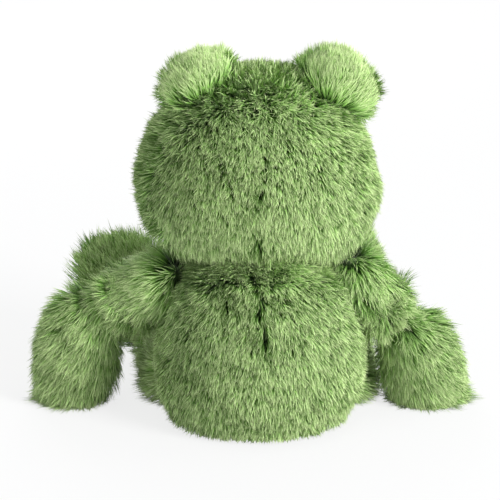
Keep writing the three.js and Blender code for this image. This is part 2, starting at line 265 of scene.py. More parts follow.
green_pile = fibre_material("green pile", (0.02, 0.07, 0.005), (0.38, 0.70, 0.16), (0.86, 1.0, 0.52),
                            (0.14, 0.21, 0.08))
pale_pile = fibre_material("pale pile", (0.34, 0.45, 0.19), (0.52, 0.66, 0.31), (0.84, 0.94, 0.60),
                           (0.75, 0.75, 0.7))
backing = woven_material("green backing", (0.10, 0.20, 0.05), 0.9 * MM, 0.2 * MM)
pale_backing = woven_material("pale backing", (0.35, 0.46, 0.20), 0.9 * MM, 0.2 * MM)
seat_cloth = woven_material("seat cloth", (0.16, 0.28, 0.08), 0.7 * MM, 0.25 * MM)
bag_cloth = woven_material("bag cloth", (0.78, 0.75, 0.66), 0.6 * MM, 0.2 * MM)
thread = woven_material("dark thread", (0.030, 0.045, 0.022), 0.35 * MM, 0.1 * MM, 0.5)
seam_thread = woven_material("green thread", (0.10, 0.19, 0.05), 0.35 * MM, 0.1 * MM, 0.6)
eye_gloss = moulded_material("black gloss", (0.004, 0.004, 0.005), 0.07, 1.0, 90)
washer_plastic = moulded_material("washer plastic", (0.76, 0.75, 0.70), 0.42, 0.0, 260)

# Where the face and the seams are


def node_points(name):
    mesh = nodes[name].data
    co = np.zeros(len(mesh.vertices) * 3)
    mesh.vertices.foreach_get("co", co)
    return co.reshape(-1, 3)


def node_middle(name):
    low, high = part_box(name)
    return np.array((low + high) / 2)


def node_tree_of(name):
    mesh = nodes[name].data
    return BVHTree.FromPolygons([v.co for v in mesh.vertices], [p.vertices for p in mesh.polygons])


SOLIDS = {name: node_tree_of(name) for name in nodes}


def onto(name, point, way):
    """Where a line from the point along the way first meets a CAD node."""
    hit = SOLIDS[name].ray_cast(Vector(point), Vector(way))
    return np.array(hit[0]), np.array(hit[1])


joint_place = {j["name"]: np.array(j["pos_m"]) for j in frame["joints"]}

MOUND_RADIUS = 30.5 * MM
MOUND_DROP = 0.44  # from the top of a mound down to the middle of its ball, as a share of its width

mound_middle = {}  # of each whole ball, of which the head hides the lower part
for side in SIDES:
    low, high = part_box("eye_mound_" + side)
    middle = (low + high) / 2
    height = high.z - MOUND_DROP * (high.x - low.x)
    mound_middle["eye_mound_" + side] = np.array((middle.x, middle.y, height))

eye_middle, eye_aim = {}, {}
for side in SIDES:
    eye_middle[side] = node_points("eye_" + side).mean(axis=0)
    way = eye_middle[side] - node_points("eye_washer_" + side).mean(axis=0)
    eye_aim[side] = way / np.linalg.norm(way)

MOUTH_HALF_WIDTH = 36 * MM
MOUTH_MIDDLE = 150 * MM
MOUTH_DIP = 13 * MM


def mouth_line(count):
    """Points and outward normals along the mouth on the front of the head."""
    points, normals = [], []
    for share in np.linspace(-1, 1, count):
        x = share * MOUTH_HALF_WIDTH
        z = MOUTH_MIDDLE - MOUTH_DIP * (1 - share * share)
        point, normal = onto("head", (x, -0.2, z), (0, 1, 0))
        points.append(point)
        normals.append(normal)
    return np.array(points), np.array(normals)


mouth_points = mouth_line(41)[0]
nostril_middle = {s: node_middle("nostril_" + s) for s in SIDES}
belly_middle = node_middle("belly_panel")
seat_middle = node_middle("seat_panel")


def fade(distance, near, far):
    """0 up to near, 1 past far, smooth between."""
    share = np.clip((distance - near) / (far - near), 0, 1)
    return share * share * (3 - 2 * share)


def nearest(points, places):
    """Distance of each point from the closest of the places."""
    places = np.atleast_2d(places)
    best = np.full(len(points), 1e9)
    for place in places:
        best = np.minimum(best, np.linalg.norm(points - place, axis=1))
    return best


def belly_share(points):
    """How far out a point is in the belly panel's oval, 1 at its edge, where it faces the front."""
    low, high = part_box("belly_panel")
    across = (points[:, 0] - belly_middle[0]) / ((high.x - low.x) / 2)
    along = (points[:, 2] - belly_middle[2]) / ((high.z - low.z) / 2)
    return np.where(points[:, 1] < -10 * MM, np.hypot(across, along), 9.0)


def pile_share(form, points):
    """How long the pile is at a point, as a share of the coat's full length."""
    share = np.ones(len(points))
    if form == "head":
        share = np.minimum(share, 0.18 + 0.82 * fade(nearest(points, mouth_points), 3 * MM, 15 * MM))
        noses = np.array([nostril_middle[s] for s in SIDES])
        share = np.minimum(share, 0.22 + 0.78 * fade(nearest(points, noses), 4 * MM, 15 * MM))
    if form == "head" or form.startswith("eye_mound"):
        eyes = np.array([eye_middle[s] for s in SIDES])
        share = np.minimum(share, 0.2 + 0.8 * fade(nearest(points, eyes), 9 * MM, 24 * MM))
    if form == "body":
        share = np.minimum(share, 0.05 + 0.95 * fade(belly_share(points), 1.0, 1.7))
    return share


# Sewn covers, filled by cloth pressure

FILL_FRAMES = 20
PILE_DEPTH = 7.5 * MM  # how far under the form's outline the backing lies
FLOOR_DEPTH = 2.2 * MM  # the same where the toy rests on the floor
MOST_INSET = 0.42  # of a form's thickness


def select_only(*objects):
    bpy.ops.object.select_all(action="DESELECT")
    for o in objects:
        o.select_set(True)
    bpy.context.view_layer.objects.active = objects[0]


def vertex_arrays(mesh):
    count = len(mesh.vertices)
    co, normal = np.zeros(count * 3), np.zeros(count * 3)
    mesh.vertices.foreach_get("co", co)
    mesh.vertex_normals.foreach_get("vector", normal)
    return co.reshape(-1, 3), normal.reshape(-1, 3)


def set_points(mesh, co):
    mesh.vertices.foreach_set("co", np.ascontiguousarray(co, dtype=np.float32).ravel())
    mesh.update()


def thickness(form, points, normals):
    """How far it is from each point through the form to its other side."""
    solid = SOLIDS[form]
    step = 1.5 * MM  # inwards, so that the line doesn't meet the side that it starts from
    through = np.empty(len(points))
    for i, (point, normal) in enumerate(zip(points, normals)):
        hit = solid.ray_cast(Vector(point - normal * step), Vector(-normal))
        through[i] = hit[3] + step if hit[0] else 1.0
    return through


def cut_cover(form, name, voxel, depth, material):
    """The cover of one form, cut as much smaller than the form as its pile is deep."""
    mesh = nodes[form].data.copy()
    cover = bpy.data.objects.new(name, mesh)
    scene.collection.objects.link(cover)
    select_only(cover)
    bpy.ops.object.mode_set(mode="EDIT")
    bpy.ops.mesh.select_all(action="SELECT")
    bpy.ops.mesh.remove_doubles(threshold=0.01 * MM)
    bpy.ops.object.mode_set(mode="OBJECT")
    mesh.remesh_voxel_size = voxel
    bpy.ops.object.voxel_remesh()
    mesh = cover.data
    co, normal = vertex_arrays(mesh)
    inset = depth * pile_share(form, co)
    on_mound = form.startswith("eye_mound")
    if not on_mound:
        inset = np.minimum(inset, MOST_INSET * thickness(form, co, normal))
    on_floor = np.clip(-normal[:, 2] - 0.6, 0, 0.3) / 0.3 * (co[:, 2] < 6 * MM)
    inset = inset * (1 - on_floor) + np.minimum(inset, FLOOR_DEPTH) * on_floor
    outwards = normal
    if on_mound:  # a cap on the head, so it shrinks towards its middle
        out = co - mound_middle[form]
        reach = np.linalg.norm(out, axis=1)
        outwards = out / reach[:, None]
        inset = np.minimum(inset, 0.45 * reach)
    set_points(mesh, co - outwards * inset[:, None])
    smooth = cover.modifiers.new("ease", "SMOOTH")
    smooth.factor, smooth.iterations = 0.5, 4
    bpy.ops.object.modifier_apply(modifier=smooth.name)
    mesh.materials.clear()
    mesh.materials.append(material)
    return cover


def add_pressure(cover):
    cloth = cover.modifiers.new("filling", "CLOTH")
    settings = cloth.settings
    settings.quality = 5
    settings.mass = 0.15
    settings.use_pressure = True
    settings.uniform_pressure_force = 4
    settings.effector_weights.gravity = 0
    cloth.collision_settings.use_collision = False


def fill_covers(covers, caps):
    """Runs the cloth of all covers together, and lets no point move further than the cover's cap."""
    cut = {}
    for cover in covers:
        cut[cover.name] = vertex_arrays(cover.data)[0]
        add_pressure(cover)
    for frame_number in range(1, FILL_FRAMES + 1):
        scene.frame_set(frame_number)
    graph = bpy.context.evaluated_depsgraph_get()
    for cover in covers:
        evaluated = cover.evaluated_get(graph).data
        filled = np.zeros(len(evaluated.vertices) * 3)
        evaluated.vertices.foreach_get("co", filled)
        move = filled.reshape(-1, 3) - cut[cover.name]
        length = np.linalg.norm(move, axis=1, keepdims=True)
        move *= np.minimum(1, caps[cover.name] / np.maximum(length, 1e-9))
        cut[cover.name] = cut[cover.name] + move
    scene.frame_set(1)
    for cover in covers:
        for modifier in list(cover.modifiers):
            cover.modifiers.remove(modifier)
        points = cut[cover.name]
        points[:, 2] = np.maximum(points[:, 2], 0.5 * MM)
        set_points(cover.data, points)
        select_only(cover)
        subdivision = cover.modifiers.new("rounded", "SUBSURF")
        subdivision.levels = subdivision.render_levels = 1
        bpy.ops.object.modifier_apply(modifier=subdivision.name)
        bpy.ops.object.shade_smooth()


FORMS = ["body", "head"] + [f"{n}_{s}" for s in SIDES for n in ("eye_mound", *LIMBS)]
BODY_OF = {form: ("head" if form.startswith("eye_mound") else form) for form in FORMS}
VOXEL = {"body": 5 * MM, "head": 5 * MM}

covers, caps = {}, {}
for form in FORMS:
    name = form + "_cover"
    voxel = VOXEL.get(form, 4 * MM)
    covers[form] = cut_cover(form, name, voxel, PILE_DEPTH + 1 * MM, backing)
    caps[name] = 2.5 * MM
covers["belly_panel"] = cut_cover("belly_panel", "belly_panel_cover", 1.6 * MM, 0.2 * MM, pale_backing)
caps["belly_panel_cover"] = 1.2 * MM
covers["pellet_bag"] = cut_cover("pellet_bag", "pellet_bag_cover", 2.5 * MM, 1 * MM, bag_cloth)
caps["pellet_bag_cover"] = 1.5 * MM
fill_covers(list(covers.values()), caps)

for form, cover in covers.items():
    body = BODY_OF.get(form, "body")
    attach(cover, body)
    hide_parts(form)

# Pile

DENSITY = 2.75e6  # strands a square metre
TUFT = 4  # strands in a tuft
COAT = 15 * MM
RING_PLACES = np.array([0.0, 0.42, 0.74, 1.0])
RING_WIDTHS = np.array([1.0, 0.8])  # of the two rings between the root and the tip
POINTS, CORNERS, FACES = 6, 10, 3  # of one strand
TONE_STEP = 0.006  # across one strand on its map
SOFTNESS = 0.5  # how much of the backing's shading a strand takes, because light goes through pile


def waves(points, size, seed):
    """Smooth noise of about unit strength whose humps are about the given size apart."""
    draw = np.random.default_rng(seed)
    total = np.zeros(len(points))
    count = 10
    for _ in range(count):
        way = draw.normal(size=3)
        way *= 2 * math.pi / size / np.linalg.norm(way) * draw.uniform(0.6, 1.5)
        total += np.sin(points @ way + draw.uniform(0, 2 * math.pi))
    return total / math.sqrt(count / 2)


def unit(vectors):
    return vectors / np.maximum(np.linalg.norm(vectors, axis=1, keepdims=True), 1e-9)


def scatter(cover, count, draw):
    """Random places on a cover, evenly by area, with the cover's rounded normals."""
    mesh = cover.data
    mesh.calc_loop_triangles()
    corners = np.zeros(len(mesh.loop_triangles) * 3, dtype=np.int64)
    mesh.loop_triangles.foreach_get("vertices", corners)
    corners = corners.reshape(-1, 3)
    co, normal = vertex_arrays(mesh)
    a, b, c = (co[corners[:, i]] for i in range(3))
    area = np.linalg.norm(np.cross(b - a, c - a), axis=1) / 2
    number = int(count * area.sum())
    pick = np.searchsorted(np.cumsum(area) / area.sum(), draw.random(number))
    pick = np.minimum(pick, len(corners) - 1)
    u, v = draw.random(number), draw.random(number)
    fold = u + v > 1
    u[fold], v[fold] = 1 - u[fold], 1 - v[fold]
    shares = np.stack([1 - u - v, u, v], axis=1)
    points = sum(shares[:, i : i + 1] * co[corners[pick, i]] for i in range(3))
    normals = unit(sum(shares[:, i : i + 1] * normal[corners[pick, i]] for i in range(3)))
    return points, normals


def depth_in(form, points):
    """How deep each point is inside a CAD form, below 0 outside."""
    tree = SOLIDS[form]
    depths = np.empty(len(points))
    for i, point in enumerate(points):
        place, normal, _, distance = tree.find_nearest(Vector(point))
        depths[i] = -distance if (Vector(point) - place).dot(normal) > 0 else distance
    return depths


def strand_mesh(name, upright, bends, offsets, across, widths, tones):
    """One mesh of tapered strands, each three faces long. bends holds the middle line of each strand."""
    count = len(bends)
    line = bends + offsets
    tangent = np.empty_like(line)
    tangent[:, 1:-1] = line[:, 2:] - line[:, :-2]
    tangent[:, 0] = line[:, 1] - line[:, 0]
    tangent[:, -1] = line[:, -1] - line[:, -2]
    tangent /= np.maximum(np.linalg.norm(tangent, axis=2, keepdims=True), 1e-9)
    side = across[:, None, :] - tangent * np.sum(across[:, None, :] * tangent, axis=2, keepdims=True)
    side /= np.maximum(np.linalg.norm(side, axis=2, keepdims=True), 1e-9)
    facing = np.sum(np.cross(side[:, 1], tangent[:, 1]) * upright, axis=1)
    side *= np.where(facing < 0, -1.0, 1.0)[:, None, None]
    half = side[:, 1:3] * (widths[:, None, None] * RING_WIDTHS[None, :, None] / 2)
    points = np.empty((count, POINTS, 3))
    points[:, 0] = line[:, 0]
    points[:, 1:5:2] = line[:, 1:3] - half
    points[:, 2:5:2] = line[:, 1:3] + half
    points[:, 5] = line[:, 3]
    floor_gap = 0.3 * MM + 1.5 * MM * tones[:, None]
    points[:, :, 2] = np.maximum(points[:, :, 2], floor_gap)
    mesh = bpy.data.meshes.new(name)
    mesh.vertices.add(count * POINTS)
    mesh.vertices.foreach_set("co", points.astype(np.float32).ravel())
    pattern = np.array([0, 2, 1, 1, 2, 4, 3, 3, 4, 5])
    corners = (np.arange(count)[:, None] * POINTS + pattern[None, :]).ravel()
    mesh.loops.add(count * CORNERS)
    mesh.loops.foreach_set("vertex_index", corners.astype(np.int32))
    starts = (np.arange(count)[:, None] * CORNERS + np.array([0, 3, 7])[None, :]).ravel()
    mesh.polygons.add(count * FACES)
    mesh.polygons.foreach_set("loop_start", starts.astype(np.int32))
    mesh.polygons.foreach_set("use_smooth", np.ones(count * FACES, dtype=bool))
    uv = mesh.uv_layers.new(name="OFBake")
    tone = 0.02 + 0.95 * np.clip(tones, 0, 1)
    edges = {"left": tone, "middle": tone + TONE_STEP / 2, "right": tone + TONE_STEP}
    up = RING_PLACES * 0.98 + 0.01
    map_corners = [("middle", 0), ("right", 1), ("left", 1),
                   ("left", 1), ("right", 1), ("right", 2), ("left", 2),
                   ("left", 2), ("right", 2), ("middle", 3)]
    values = np.empty((count, CORNERS, 2))
    for corner, (edge, ring) in enumerate(map_corners):
        values[:, corner, 0] = edges[edge]
        values[:, corner, 1] = up[ring]
    uv.data.foreach_set("uv", values.astype(np.float32).ravel())
    mesh.update(calc_edges=True)
    flat = np.cross(side, tangent)
    shading = SOFTNESS * upright[:, None, :] + (1 - SOFTNESS) * flat[:, [0, 1, 1, 2, 2, 3]]
    shading /= np.maximum(np.linalg.norm(shading, axis=2, keepdims=True), 1e-9)
    mesh.normals_split_custom_set_from_vertices(shading.reshape(-1, 3).tolist())
    return mesh


def tuft_roots(form, density, neighbours, only, draw):
    """The roots, normals and shares of pile length of a form's tufts. A tuft that would stand deeper inside
    a neighbour than is allowed is left out."""
    roots, normals = scatter(covers[form], density / TUFT, draw)
    share = pile_share(form, roots)
    outline = roots + normals * (PILE_DEPTH * share)[:, None]
    kept = np.ones(len(roots), bool)
    reach = 3 * MM
    for other, allowed in neighbours:
        near = np.ones(len(roots), bool)
        low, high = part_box(other)
        for axis in range(3):
            near &= (outline[:, axis] > low[axis] - reach) & (outline[:, axis] < high[axis] + reach)
        places = np.flatnonzero(near & kept)
        kept[places[depth_in(other, outline[places]) > allowed]] = False
    if only is not None:
        kept &= only(roots, normals)
    return roots[kept], normals[kept], share[kept]


def comb_pile(form, comb, length, lean, seed, neighbours=(), touch=None, rough=1.0, only=None, panels=None,
              density=DENSITY, width=0.6 * MM, material=green_pile):
    """Covers a form with pile. comb gives the way the pile is brushed at each root, lean is its angle from
    upright at the root and at the tip in degrees, and neighbours are the forms it may enter and how deep.
    touch gives each root's share of the length and what is added to its lean, tone and mess. rough says
    how uneven the pile is, only keeps some roots, and panels names the pieces of cloth it is split into."""
    draw = np.random.default_rng(seed)
    roots, normals, share = tuft_roots(form, density, neighbours, only, draw)
    count = len(roots)
    way = comb(roots, normals)
    grown, tilted, toned, messy = touch(roots, normals) if touch else (1, 0, 0, 0)
    wander = np.stack([waves(roots, 26 * MM, seed * 10 + k) for k in range(3)], axis=1)
    fine = np.stack([waves(roots, 9 * MM, seed * 10 + 3 + k) for k in range(3)], axis=1)
    loose = (0.13 * rough + np.zeros(count) + messy)[:, None]
    way = way / np.maximum(np.linalg.norm(way, axis=1, keepdims=True), 0.75)
    way = way + rough * (0.10 * wander + 0.12 * fine) + draw.normal(size=(count, 3)) * loose
    way = way - normals * np.sum(way * normals, axis=1, keepdims=True)
    laid = np.clip(1.5 * np.linalg.norm(way, axis=1), 0.25, 1)  # upright where the combing has no way to go
    way = unit(way)
    across = np.cross(normals, way)
    mood = 0.5 * waves(roots, 30 * MM, seed * 10 + 7) + 0.5 * waves(roots, 7 * MM, seed * 10 + 8)
    tuft_length = length * share * grown * (1 + rough * (0.06 * mood + draw.normal(size=count) * 0.06))
    start = np.radians(lean[0] + tilted * 0.6 + rough * (4 * mood + draw.normal(size=count) * 4))
    end = np.radians(lean[1] + tilted + rough * (4 * mood + draw.normal(size=count) * 5))
    end = np.maximum(end, start) * laid
    start = (start + (1 - share) * 0.35) * laid
    # The touch's tone brings painted light and shade, and the waves and the draws add random tone.
    tone = 0.60 + toned + 0.07 * waves(roots, 18 * MM, seed * 10 + 9)
    tone = tone + draw.normal(size=count) * 0.16 * rough

    strands = count * TUFT
    owner = np.repeat(np.arange(count), TUFT)
    radius = math.sqrt(TUFT / density / math.pi) * 1.05
    distance = radius * np.sqrt(draw.random(strands))
    angle = draw.random(strands) * 2 * math.pi
    ox, oy = distance * np.cos(angle), distance * np.sin(angle)
    own_length = tuft_length[owner] * (0.97 + 0.26 * rough * (draw.random(strands) - 0.5))
    stray = draw.random(strands) < 0.06
    own_length[stray] *= 1.1
    a0 = start[owner] + draw.normal(size=strands) * 0.10 * rough
    a1 = end[owner] + draw.normal(size=strands) * 0.12 * rough
    a1[stray] -= 0.14 * rough
    n, w, b = normals[owner], way[owner], across[owner]
    line = np.zeros((strands, 4, 3))
    line[:, 0] = roots[owner]
    swirl = draw.normal(size=strands) * 0.10
    for ring in range(1, 4):
        middle = (RING_PLACES[ring] + RING_PLACES[ring - 1]) / 2
        lift = (a0 + (a1 - a0) * middle)[:, None]
        step = (own_length * (RING_PLACES[ring] - RING_PLACES[ring - 1]))[:, None]
        turn = (swirl * (1 + 2 * middle))[:, None]
        sideways = w * np.cos(turn) + b * np.sin(turn)
        line[:, ring] = line[:, ring - 1] + step * (n * np.cos(lift) + sideways * np.sin(lift))
    gather = np.where(stray, 0.1, 0.5 + 0.3 * draw.random(strands))
    offsets = np.zeros((strands, 4, 3))
    plane = w * ox[:, None] + b * oy[:, None]
    for ring in range(4):
        offsets[:, ring] = plane * (1 - gather * RING_PLACES[ring] ** 1.3)[:, None]
    twist = draw.normal(size=strands) * 0.6
    face = b * np.cos(twist)[:, None] + n * np.sin(twist)[:, None]
    widths = width * (0.8 + 0.45 * draw.random(strands))
    odd = draw.random(strands)
    odd_tone = np.where(odd < 0.12, -0.45, np.where(odd > 0.86, 0.3, 0)) + np.where(stray, 0.12, 0)
    tones = np.clip(tone[owner] + (draw.normal(size=strands) * 0.26 + odd_tone) * rough, 0, 1)

    groups = panels(roots) if panels else {"pile": np.ones(count, bool)}
    for panel, inside in groups.items():
        chosen = inside[owner]
        name = f"{form}_{panel}"
        mesh = strand_mesh(name, n[chosen], line[chosen], offsets[chosen], face[chosen], widths[chosen],
                           tones[chosen])
        piece = bpy.data.objects.new(name, mesh)
        scene.collection.objects.link(piece)
        mesh.materials.append(material)
        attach(piece, BODY_OF.get(form, "body"))


def away(points, place):
    return unit(points - np.asarray(place))


def quarters(points):
    """The sewn panels of the head and the body: two at the back and two at the front."""
    back, left = points[:, 1] > -4 * MM, points[:, 0] > 0
    return {"pile_back_left": back & left, "pile_back_right": back & ~left,
            "pile_front_left": ~back & left, "pile_front_right": ~back & ~left}


DOWN = np.array([0.0, 0.0, -1.0])


def beside(points, start, end):
    """The offset of each point from the nearest point of a straight stretch."""
    start, end = np.array(start), np.array(end)
    along = np.clip((points - start) @ (end - start) / np.sum((end - start) ** 2), 0, 1)
    return points - (start + along[:, None] * (end - start))


# Where the pile parts behind: across and up at both ends, and how wide, in millimetres
HEAD_CREASES = [(-5, 212, -5, 209, 2.6), (-3, 190, -2.5, 183, 2.4), (-1, 172, 1.5, 160, 2.4),
                (19, 176, 16, 168, 2), (1, 141, 0.5, 132, 3.4)]
BODY_CREASES = [(1, 118, 6, 110, 3.4), (6, 110, 2, 101, 3.8), (-1, 97, 0.5, 87, 3.2),
                (-1, 84, -4, 69, 4.6), (19, 96, 20, 89, 2.4), (-22, 74, -23, 66, 2.2)]
GUSSET_EDGE = 0.50  # how far backwards the head's surface faces at the seam of its side panel
FACE_MIDDLE = np.array([0, -72, 188]) * MM  # the bridge of the nose, from which the face pile spreads


def creased(points, normals, creases):
    """A push away from the creases behind, and how deep in a crease each point is."""
    behind = fade(normals[:, 1], 0.25, 0.5)
    push, depth = np.zeros((len(points), 3)), np.zeros(len(points))
    level = points * [1, 0, 1]
    for x0, z0, x1, z1, width in creases:
        offset = beside(level, (x0 * MM, 0, z0 * MM), (x1 * MM, 0, z1 * MM))
        near = np.exp(-((np.linalg.norm(offset, axis=1) / (width * MM)) ** 2)) * behind
        push += 0.5 * near[:, None] * unit(offset)
        depth = np.maximum(depth, near)
    return push, depth


def fall(normals, left, right):
    """Downwards. The shares say how much of the pile's sideways lift is taken back on each side."""
    back = -np.where(normals[:, 0] > 0, left, right) * normals[:, 0]
    return DOWN + back[:, None] * np.array([1.0, 0, 0])


def gusset_share(points, normals):
    """0 behind and 1 ahead of the seam down the left of the head, past which the pile lies sideways."""
    edge = GUSSET_EDGE + 0.03 * waves(points, 30 * MM, 91)
    below = fade(208 * MM - points[:, 2], 0, 14 * MM) * fade(normals[:, 2] + 0.75, 0, 0.2)
    band = fade(edge - normals[:, 1], 0, 0.06) * fade(normals[:, 1], -0.35, 0.15)
    return band * (normals[:, 0] > 0) * below


def crown_share(points, normals):
    """1 on the crown between the eye mounds."""
    between = fade(32 * MM - np.abs(points[:, 0] + 5 * MM), 0, 18 * MM)
    return between * fade(normals[:, 2], 0.5, 0.8) * fade(points[:, 1], -40 * MM, -15 * MM)


def comb_head(points, normals):
    way = fall(normals, 0.62, 0.0) + creased(points, normals, HEAD_CREASES)[0]
    gusset = gusset_share(points, normals)[:, None]
    way = way * (1 - gusset) + gusset * np.array([0.6, -1.0, -0.3])
    front = fade(-normals[:, 1], 0.1, 0.5)[:, None]
    face = away(points, FACE_MIDDLE) + 0.25 * DOWN
    return way * (1 - front) + front * face


def neck_share(points):
    """1 where the body comes out from under the head."""
    return fade(points[:, 2], 98 * MM, 114 * MM)


def comb_body(points, normals):
    way = fall(normals, 0.5, 0.1) + creased(points, normals, BODY_CREASES)[0]
    way = way + neck_share(points)[:, None] * unit(normals * [1, 1, 0])
    front = fade(-normals[:, 1], 0.1, 0.5)[:, None]
    outwards = away(points, (0, -60 * MM, belly_middle[2]))
    rim = fade(1.35 - belly_share(points), 0, 0.3)[:, None]  # where it lies over the belly panel's edge
    ahead = (0.8 * outwards + 0.6 * DOWN) * (1 - rim) + rim * (0.3 * DOWN - 0.6 * outwards)
    return way * (1 - front) + front * ahead


def touch_head(points, normals):
    """Messy on the crown, flat behind it, short on the face, longer over the neck and round the eye mounds.
    Its tone puts painted shade on the side panel, which faces away from the key lamp, and in the creases,
    and painted light on the crown and on the base of the eye mounds, where the mounds cast shade."""
    crown = crown_share(points, normals)
    hang = fade(134 * MM - points[:, 2], 0, 14 * MM)
    gusset = gusset_share(points, normals)
    brow = fade(normals[:, 2], 0.25, 0.65) * fade(normals[:, 1], 0.1, 0.3)
    seam = np.exp(-(((normals[:, 1] - GUSSET_EDGE) / 0.05) ** 2)) * (normals[:, 0] > 0)
    to_mound = nearest(points, list(mound_middle.values())) - MOUND_RADIUS
    base = fade(13 * MM - to_mound, 0, 10 * MM) * (1 - crown) * fade(normals[:, 1], 0.1, 0.45)
    cheek = fade(-normals[:, 0], 0.55, 0.8) * fade(points[:, 2], 158 * MM, 172 * MM)
    crease = creased(points, normals, HEAD_CREASES)[1]
    jowl = fade(142 * MM - points[:, 2], 0, 16 * MM) * fade(np.abs(points[:, 0]), 18 * MM, 40 * MM)
    bridge = fade(-nearest(points, FACE_MIDDLE), -34 * MM, -8 * MM)
    longer = 0.08 * crown + 0.2 * hang + 0.12 * gusset + 0.45 * base + 0.35 * jowl
    length = 1 + longer - 0.55 * bridge - 0.3 * cheek - 0.3 * seam
    tilt = 10 * hang - 8 * crown - 14 * base + 16 * brow - 4 * gusset + 14 * bridge
    # Painted light on the crown and round the mounds' base, painted shade on the side panel and in the
    # creases.
    tone = 0.12 * crown + 0.12 * base + 0.2 * bridge - 0.42 * gusset - 0.3 * crease
    return length, tilt, tone, 0.2 * crown


def touch_body(points, normals):
    """Longer and flatter under the head, with painted light there against the head's shadow, painted shade
    in the creases, a little lighter round the belly panel, and upright there.
    """
    neck = neck_share(points)
    # Painted shade in the creases behind.
    dark = 0.35 * creased(points, normals, BODY_CREASES)[1]
    hem = fade(points[:, 0], 10 * MM, 40 * MM) * fade(28 * MM - points[:, 2], 0, 12 * MM)
    rim = fade(1.4 - belly_share(points), 0, 0.3) * (normals[:, 1] < 0)
    length = 1 + 0.55 * neck * (1 - rim) + 0.25 * hem + 0.3 * rim
    # The tone adds painted light under the head and takes off the painted shade of the creases.
    return length, 16 * neck * (1 - rim) - 12 * rim, 0.35 * neck - dark + 0.12 * rim, 0


def crease_share(points, normals, start, end, width):
    """How deep in a crease on the back of a limb each point is, and the way out of it."""
    offset = beside(points * [1, 0, 1], start, end)
    share = np.exp(-((np.linalg.norm(offset, axis=1) / width) ** 2)) * fade(normals[:, 1], 0.0, 0.4)
    return share, unit(offset)


def comb_limb(start, end, drift, crease=None, first=None):
    """Pile that runs along a limb, drifts one way, parts at a crease and spreads on the floor. It can lie
    another way first, next to the limb's root."""
    along = unit(np.array([end - start]))[0] + np.asarray(drift)

    def comb(points, normals):
        way = along + 0.25 * away(points, start)
        if first:
            further = fade(nearest(points, start), 22 * MM, 36 * MM)[:, None]
            way = way * further + np.asarray(first) * (1 - further)
        if crease:
            share, out = crease_share(points, normals, *crease, 6 * MM)
            way = way + 0.9 * share[:, None] * out
        low = fade(16 * MM - points[:, 2], 0, 12 * MM)[:, None]
        return way + low * unit(normals * [1, 1, 0]) * 1.5

    return comb


def touch_limb(shoulder, crease):
    """Full at the shoulder, with painted light in its pit where shade falls, longer underneath, and with
    painted shade in a crease.
    """

    def touch(points, normals):
        root = fade(34 * MM - nearest(points, shoulder), 0, 16 * MM)
        under = fade(-normals[:, 2], -0.1, 0.5)
        dark = crease_share(points, normals, *crease, 4 * MM)[0] if crease else 0
        length = 1 + 0.15 * root - 0.15 * dark + 0.25 * under
        # Painted light at the shoulder and painted shade in the crease, in the tone.
        return length, 4 * root - 8 * under, 0.25 * root - 0.04 - 0.3 * dark, 0.2 * dark

    return touch


def touch_foot(sign):
    """More upright at the inner edge of the toes, short under the heel, and long on the left foot's outer
    side."""

    def touch(points, normals):
        inner = fade(-sign * normals[:, 0] + normals[:, 2], 0.5, 1.2)
        under = fade(-normals[:, 2], 0.2, 0.6)
        ahead = fade(-normals[:, 1], 0.3, 0.8)
        near_floor = fade(14 * MM - points[:, 2], 0, 10 * MM)
        outer = fade(normals[:, 0], 0.2, 0.7) if sign > 0 else -0.5
        short = (1 - 0.16 * ahead) * (1 - 0.35 * np.maximum(under, near_floor))
        return (1 + 0.15 * inner + 0.4 * outer) * short, -12 * inner * (1 - ahead), 0.12, 0

    return touch


def touch_leg(points, normals):
    """Longer and hanging underneath."""
    under = fade(-normals[:, 2], 0.0, 0.5)
    return 1 + 0.4 * under, -40 * under, 0.12, 0


def comb_mound(side, source):
    """Pile that spreads from a pucker behind and round the eye in front."""

    def comb(points, normals):
        back = away(points, source)
        ahead = away(points, eye_middle[side])
        front = fade(-normals[:, 1], -0.1, 0.6)[:, None]
        return back * (1 - front) + ahead * front

    return comb


def touch_mound(points, normals):
    """Painted light against the shade between its strands: a little lighter than the head, the left one
    most.
    """
    return 0.92, 0, 0.12 + 0.12 * (points[:, 0] > 0), 0


def comb_belly(points, normals):
    """Down and outwards from the top of the panel."""
    return away(points, (0, -60 * MM, 90 * MM)) + 1.2 * DOWN


def open_panel(points, normals):
    """Leaves out the side of the belly panel that lies on the body."""
    return normals[:, 1] < 0.35


def open_body(points, normals):
    """Leaves out what the belly panel covers and what stands on the floor."""
    seated = (normals[:, 2] < -0.8) & (points[:, 2] < 6 * MM)
    return (belly_share(points) > 0.97) & ~seated


HAND_COAT = {"left": COAT * 1.32, "right": COAT * 1.2}
# Both ends of the crease behind the arm, the way of the pile next to the shoulder, and the place from
# which the pile of an eye mound spreads
ARM_CREASE = {"left": None, "right": ((-62 * MM, 0, 94 * MM), (-98 * MM, 0, 57 * MM))}
ARM_FIRST = {"left": None, "right": (-0.3, 0.6, -1.0)}
PUCKER = {"left": (26 * MM, 16 * MM, 196 * MM), "right": (-36 * MM, 17 * MM, 190 * MM)}
BODY_NEIGHBOURS = [("head", 3 * MM)]
for limb, deep in (("upper_arm", 10 * MM), ("leg", 5 * MM)):
    BODY_NEIGHBOURS += [(f"{limb}_{side}", deep) for side in SIDES]

